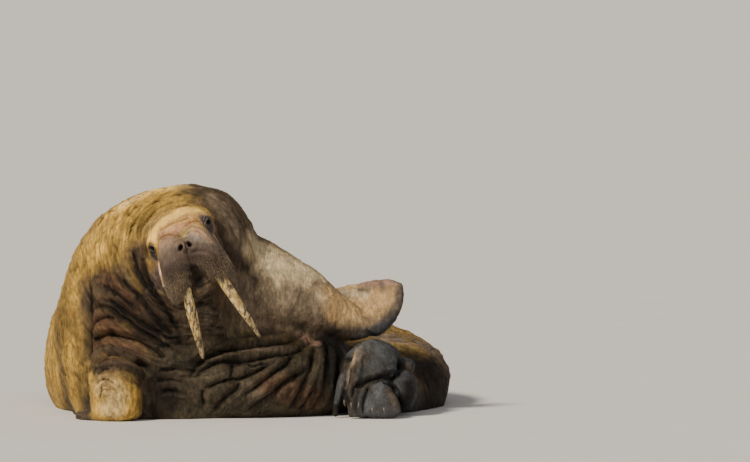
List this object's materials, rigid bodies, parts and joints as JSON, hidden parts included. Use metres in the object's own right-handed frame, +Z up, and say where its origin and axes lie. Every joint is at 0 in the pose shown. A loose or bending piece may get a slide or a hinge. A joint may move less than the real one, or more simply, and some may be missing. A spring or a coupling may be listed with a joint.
{
  "type": "walrus",
  "caption": "Life-size adult bull walrus at rest, propped on one fore flipper with its head raised and tilted, hind body curled round, as a still display model.",
  "frame": {"origin": "on the floor, under the middle of the animal's box", "axes": "+Z up; the chest and face look along -Y, the animal's right side lies towards -X, its hips curl round to +X"},
  "size_m": [1.8107, 2.0359, 1.0171],
  "materials": {
    "hide": "thick creased hide, ochre and brown, dull",
    "face": "creased hide with short bristles, pinkish brown",
    "flipper": "bare leathery skin, dark grey and tan",
    "ivory": "ivory with brown stains and fine cracks",
    "eye": "dark, wet and glossy"
  },
  "bodies": {
    "root": {"head": "face", "muzzle": "face", "lower_jaw": "face", "left_eye": "eye", "right_eye": "eye", "left_tusk": "ivory", "right_tusk": "ivory", "neck": "hide", "chest": "hide", "abdomen": "hide", "hindquarters": "hide", "tail": "hide", "left_fore_flipper": "flipper", "right_fore_flipper": "flipper", "left_hind_flipper": "flipper", "right_hind_flipper": "flipper"}
  },
  "joints": []
}
